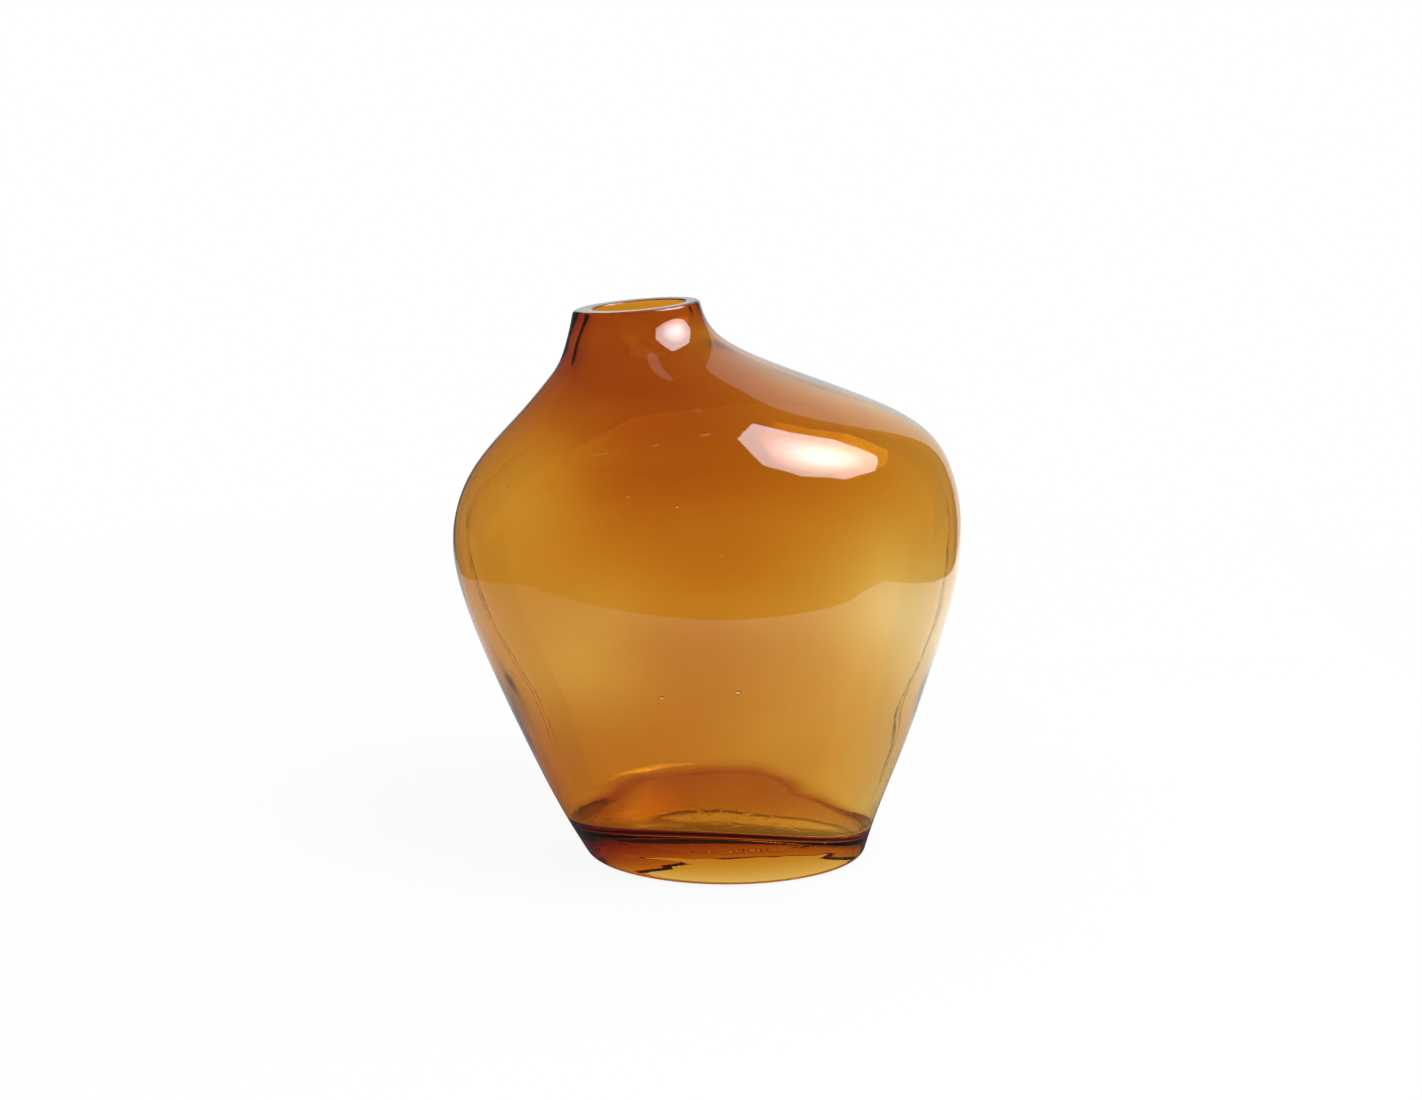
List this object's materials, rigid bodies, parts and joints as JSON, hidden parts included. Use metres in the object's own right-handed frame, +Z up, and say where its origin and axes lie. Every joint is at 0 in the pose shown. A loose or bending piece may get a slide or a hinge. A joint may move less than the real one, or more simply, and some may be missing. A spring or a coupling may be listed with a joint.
{
  "type": "blown glass vase",
  "caption": "Amber blown-glass vase with an off-centre leaning neck, a long sloping shoulder and a thick foot that is hollowed underneath.",
  "frame": {"origin": "on the table, under the middle of the belly's width and depth", "axes": "+Z up; +X to the right, towards the long shoulder, with the neck on the -X side; -Y is the front, as in the picture"},
  "size_m": [0.1886, 0.151, 0.2099],
  "materials": {
    "amber_glass": "clear amber glass blown in a mould, glossy, with small seeds and faint mould waves"
  },
  "bodies": {
    "root": {"glass_vase": "amber_glass"}
  },
  "joints": []
}
